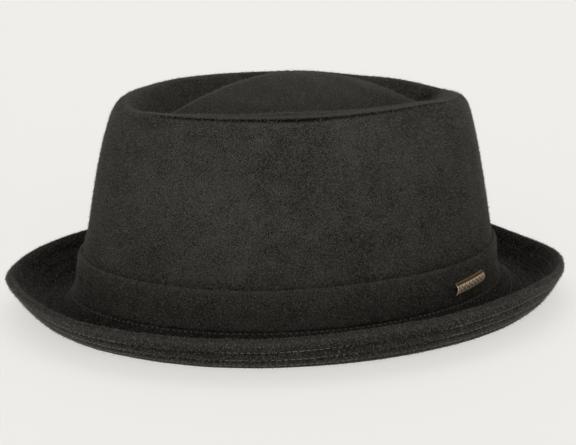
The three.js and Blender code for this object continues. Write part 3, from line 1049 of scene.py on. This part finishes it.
class HAT_OT_brim(bpy.types.Operator):
    """Makes the curled brim, its two plies quilted together by rows of stitches"""

    bl_idname = "hat.brim"
    bl_label = "Brim"

    def execute(self, context):
        form = HatForm(context.scene)
        angle = angles(640)
        reach_in = np.linspace(0.9 * MM, 33 * MM, 47)
        reach_root = np.linspace(0, 1, 9)[1:]
        turns = np.linspace(0, pi, 9)[1:-1]
        edge = np.ones(len(turns))
        swell = ripple(angle, 3, 10, 31)
        small = ripple(angle, 14, 34, 32)
        columns, marks = [], []
        for i, a in enumerate(angle):
            foot, course, *faces = form.brim_faces(a, reach_in, reach_root)
            lines, rows = [], []
            for face, way in zip(faces, (-1, 1)):
                out, row = form.quilt(face[:, 4], way)
                swollen = form.brim.waviness * (swell[i] + 0.4 * small[i])
                bob = swollen * dip(face[:, 4] - 8 * MM, 14 * MM)
                lines.append(face[:, :2] + face[:, 2:4] * (way * out + bob)[:, None])
                rows.append(row)
            low, high = lines
            centre, half = (low[0] + high[0]) / 2, (high[0] - low[0]) / 2
            along = np.array([faces[0][0, 3], -faces[0][0, 2]])
            roll = [centre - half * cos(t) + along * 0.9 * MM * sin(t) for t in turns]
            section = np.concatenate([low[::-1], roll, high])
            columns.append(np.column_stack([foot + course * section[:, :1], section[:, 1]]))
            from_edge = faces[1][:, 4]
            # Lighter towards the edge: rubbed nap and a painted highlight.
            edge_rub_and_highlight = 0.9 * dip(from_edge, 2.2 * MM)
            hair = 1 + 1.6 * dip(from_edge, 3 * MM)
            hair_below = (faces[0][::-1, 4] < 30 * MM) * hair[::-1]
            # Painted shade along the dips of the rows of stitches; the edge's roll is lighter with
            # rubbed nap and a painted highlight.
            marks.append([
                np.concatenate([0.8 * rows[0][::-1], 0 * edge, 0.8 * rows[1]]),
                np.concatenate([edge_rub_and_highlight[::-1], 0.9 * edge, edge_rub_and_highlight]),
                np.concatenate([hair_below, 2.6 * edge, hair]),
            ])
        rings, marks = np.array(columns).transpose(1, 0, 2), np.array(marks).transpose(2, 1, 0)
        rings[..., 2] = np.maximum(rings[..., 2], 0.0)
        marks[:, 2] *= rings[..., 2] > 1.6 * MM
        nodes = ("brim_upper", "brim_under")
        cloth_rings(context.scene, "brim", "brim", rings, marks, 14, *nodes)
        return {"FINISHED"}


class HAT_OT_stitches(bpy.types.Operator):
    """Sews the rows of stitches on both faces of the brim, and the row round the band's foot"""

    bl_idname = "hat.stitches"
    bl_label = "Stitches"

    def execute(self, context):
        form = HatForm(context.scene)
        sewing = context.scene.hat_stitches
        under, over = self.lines(form, np.array(form.stitch_rows()))
        dot = (sewing.dot_length, sewing.dot_thickness)
        for name, lines, stitch in (
            ("brim_under_stitches", under, (sewing.length, sewing.thickness)),
            ("brim_upper_stitches", over, dot),
            ("root_stitches", [self.root_line(form, sewing.root_row)], dot),
        ):
            sets = [self.spaced(*line, sewing.pitch) for line in lines]
            where = (np.concatenate(part) for part in zip(*sets))
            add_stitches(context.scene, name, *where, *stitch)
        return {"FINISHED"}

    @staticmethod
    def lines(form, rows):
        """Each row's line and its outward way, on the underside and on the upper side."""
        kept = {-1: [], 1: []}
        for a in angles(FINE):
            foot, course, *faces = form.brim_faces(a, rows, np.array([]))
            for way, face in zip(kept, faces):
                out, _ = form.quilt(face[:, 4], way)
                line = face[:, :2] + face[:, 2:4] * (way * out)[:, None]
                normal = np.column_stack([course * face[:, 2:3], face[:, 3]]) * way
                sunk = 0.3 * MM * unit((cos(a) + 0.35) / 0.6) if way > 0 else 0
                place = np.column_stack([foot + course * line[:, :1], line[:, 1]])
                kept[way].append((place - sunk * normal, normal))
        return [np.array(side).transpose(2, 1, 0, 3) for side in kept.values()]

    @staticmethod
    def root_line(form, distance):
        """The line of the row at the band's foot, on the brim's upper side."""
        places, outs = [], []
        for a in angles(FINE):
            foot, course, _, over = form.brim_faces(a, np.array([0.0]), np.linspace(0, 1, 300))
            near = np.argmin(np.abs(over[:, 0] - distance - form.band.front_flare * form.front(a)))
            places.append([*(foot + course * over[near, 0]), over[near, 1]])
            outs.append([*(course * over[near, 2]), over[near, 3]])
        return np.array(places), np.array(outs)

    @staticmethod
    def spaced(line, out, pitch):
        """Even points along a closed line, with its course and its outward way at each."""
        ring, outs = np.vstack([line, line[:1]]), np.vstack([out, out[:1]])
        run = np.concatenate([[0], np.cumsum(np.linalg.norm(np.diff(ring, axis=0), axis=1))])
        count = round(run[-1] / pitch)
        at = np.arange(count) * run[-1] / count

        def read(where, values):
            return np.column_stack([np.interp(where, run, values[:, k]) for k in range(3)])

        place = read(at, ring)
        return place, read((at + 0.3 * MM) % run[-1], ring) - place, read(at, outs)


class HAT_OT_plate(bpy.types.Operator):
    """Makes the small curved metal plate with its engraved ornament"""

    bl_idname = "hat.plate"
    bl_label = "Metal plate"

    def execute(self, context):
        form = HatForm(context.scene)
        plate = form.plate
        long_steps, wide_steps = 140, 36
        u = np.linspace(-0.5, 0.5, long_steps + 1) * plate.length
        v = np.linspace(-0.5, 0.5, wide_steps + 1) * plate.width
        u, v = np.meshgrid(u, v, indexing="ij")
        recess = self.ornament(plate, u, v)
        to_edge = np.minimum(plate.length / 2 - np.abs(u), plate.width / 2 - np.abs(v))
        bevel = 0.25 * MM
        eased = bevel * (1 - np.sqrt(1 - unit(1 - to_edge / bevel) ** 2 * 0.98))
        outer = form.plate_face(u, v, plate.sheet - plate.relief * recess - eased)
        inner = form.plate_face(u, v, 0 * u)
        points = np.concatenate([outer.reshape(-1, 3), inner.reshape(-1, 3)])
        wide = wide_steps + 1
        size = (long_steps + 1) * wide
        along, across = np.arange(long_steps), np.arange(wide_steps)
        a = (along[:, None] * wide + across).ravel()
        face = np.column_stack([a, a + wide, a + wide + 1, a + 1])
        sides = (along * wide, long_steps * wide + across, size - 1 - along * wide)
        rim = np.concatenate([*sides, wide_steps - across])
        ahead = np.roll(rim, -1)
        border = np.column_stack([ahead, rim, rim + size, ahead + size])
        faces = outward(points, np.concatenate([face, face[:, ::-1] + size, border]))
        # An amber strip along the plate's upper long edge.
        tarnish = unit((v - plate.width / 2 + 1.25 * MM) / (0.3 * MM)).ravel()
        numbers = {
            "recess": np.concatenate([recess.ravel(), np.full(size, 0.8)]),
            "tarnish": np.concatenate([tarnish, np.zeros(size)]),
        }
        obj = new_piece("plate", points, faces, brass("antique brass", plate), numbers)
        finish_piece(obj, "plate_metal", "badge")
        return {"FINISHED"}

    @staticmethod
    def ornament(plate, u, v):
        """How deep the ornament is cut, 0 on the face and 1 at its bottom: a line round the plate,
        and a row of lozenges with short bars between them."""
        soft, line = 0.12 * MM, 0.2 * MM
        half_long, half_wide = plate.length / 2 - 0.8 * MM, plate.width / 2 - 0.5 * MM
        v = v + 0.35 * MM
        inset = np.minimum(half_long - np.abs(u), half_wide - np.abs(v))
        frame_line = unit((line + soft - np.abs(inset)) / soft)
        pitch = 2 * (half_long - 0.6 * MM) / plate.figures
        near = (u + half_long - 0.6 * MM) % pitch - pitch / 2
        tall = half_wide - 0.35 * MM
        slope = 1 / hypot(1 / (0.4 * pitch), 1 / tall)
        lozenge_out = (np.abs(near) / (0.4 * pitch) + np.abs(v) / tall - 1) * slope
        lozenge = unit((1.1 * line + soft - np.abs(lozenge_out + 1.2 * line)) / soft)
        to_bar = np.minimum(np.abs(near - pitch / 2), np.abs(near + pitch / 2))
        bar = unit((0.9 * line + soft - to_bar) / soft) * (np.abs(v) < 0.75 * tall)
        inside = np.abs(u) < half_long - 0.6 * MM
        return np.maximum(frame_line, np.maximum(lozenge, bar) * inside)


class HAT_OT_studio(bpy.types.Operator):
    """Sets up the pale floor, the soft lights and the camera"""

    bl_idname = "hat.studio"
    bl_label = "Studio"

    def execute(self, context):
        scene = context.scene
        studio = scene.hat_studio
        self.floor(studio)
        self.world(scene, studio)
        scene.view_settings.view_transform = "Standard"
        scene.camera = self.camera(studio)
        return {"FINISHED"}

    @staticmethod
    def world(scene, studio):
        """Soft light from the round panels."""
        scene.world = bpy.data.worlds.new("Studio")
        nodes = emptied(scene.world)
        axes = nodes.add("ShaderNodeSeparateXYZ", {0: nodes.place("Generated")}).outputs
        x, y, height = (Value(nodes, socket) for socket in axes)
        strength = studio.ambient
        for side, up, middle, edge, power in PANELS:
            side, up = studio.azimuth + radians(side), radians(up)
            level = (x * sin(side) - y * cos(side)) * cos(up)
            toward = level + height * sin(up)
            lit = toward.over(cos(radians(edge)), cos(radians(middle)))
            strength = strength + lit * (power * studio.brightness)
        inputs = {"Color": (*LIGHT, 1.0), "Strength": strength}
        nodes.add("ShaderNodeOutputWorld", {"Surface": nodes.add("ShaderNodeBackground", inputs)})

    @staticmethod
    def floor(studio):
        """A wide round floor at the height that the hat rests on."""
        ring = [(7 * cos(a), 7 * sin(a), 0.0) for a in angles(96)]
        mesh = bpy.data.meshes.new("floor")
        mesh.from_pydata(ring, [], [tuple(range(len(ring)))])
        material, nodes, shader = new_material("pale floor")
        nodes.feed(shader, {
            "Base Color": rgba(studio.floor),
            "Roughness": 0.9,
            "Specular IOR Level": 0.1,
            "Emission Color": rgba(LIGHT),
            "Emission Strength": studio.glow,
        })
        mesh.materials.append(material)
        new_object("floor", mesh)

    @staticmethod
    def camera(studio):
        """The camera, on a turn round the point that it looks at."""
        a, e, r = studio.azimuth, studio.elevation, studio.roll
        back = Vector((sin(a) * cos(e), -cos(a) * cos(e), sin(e)))
        right = Vector((cos(a), sin(a), 0))
        up = back.cross(right)
        rolled_right = cos(r) * right + sin(r) * up
        rolled_up = cos(r) * up - sin(r) * right
        place = Vector((-0.965, 0.524, 36.64)) * MM + back * studio.distance
        data = bpy.data.cameras.new("Camera")
        data.sensor_fit = "HORIZONTAL"
        data.sensor_width = 36.0
        data.lens = studio.lens
        obj = new_object("Camera", data)
        axes = Matrix((rolled_right, rolled_up, back)).transposed().to_4x4()
        obj.matrix_world = Matrix.Translation(place) @ axes
        return obj


class HAT_PT_panel(bpy.types.Panel):
    """The hat's pieces and sizes"""

    bl_idname = "HAT_PT_panel"
    bl_label = "Porkpie hat"
    bl_space_type = "VIEW_3D"
    bl_region_type = "UI"
    bl_category = "Hat"

    def draw(self, context):
        for operator in OPERATORS:
            self.layout.operator(operator.bl_idname)
        for name in GROUPS:
            group = getattr(context.scene, name)
            box = self.layout.box()
            for label in group.__annotations__:
                box.prop(group, label)


GROUPS = {
    f"hat_{group.__name__[3:].lower()}": group
    for group in (HatCrown, HatBrim, HatBand, HatPlate, HatStitches, HatCloth, HatStudio)
}
OPERATORS = (
    HAT_OT_brim,
    HAT_OT_crown_side,
    HAT_OT_crown_tip,
    HAT_OT_band,
    HAT_OT_stitches,
    HAT_OT_plate,
    HAT_OT_studio,
)


def register():
    for group in GROUPS.values():
        bpy.utils.register_class(group)
    for name, group in GROUPS.items():
        setattr(bpy.types.Scene, name, PointerProperty(type=group))
    for each in (*OPERATORS, HAT_PT_panel):
        bpy.utils.register_class(each)


def unregister():
    for each in reversed((*OPERATORS, HAT_PT_panel)):
        bpy.utils.unregister_class(each)
    for name in GROUPS:
        delattr(bpy.types.Scene, name)
    for group in reversed(GROUPS.values()):
        bpy.utils.unregister_class(group)


def main():
    """Makes every piece and the studio."""
    register()
    for operator in OPERATORS:
        module, name = operator.bl_idname.split(".")
        getattr(getattr(bpy.ops, module), name)()


if __name__ == "__main__":
    main()
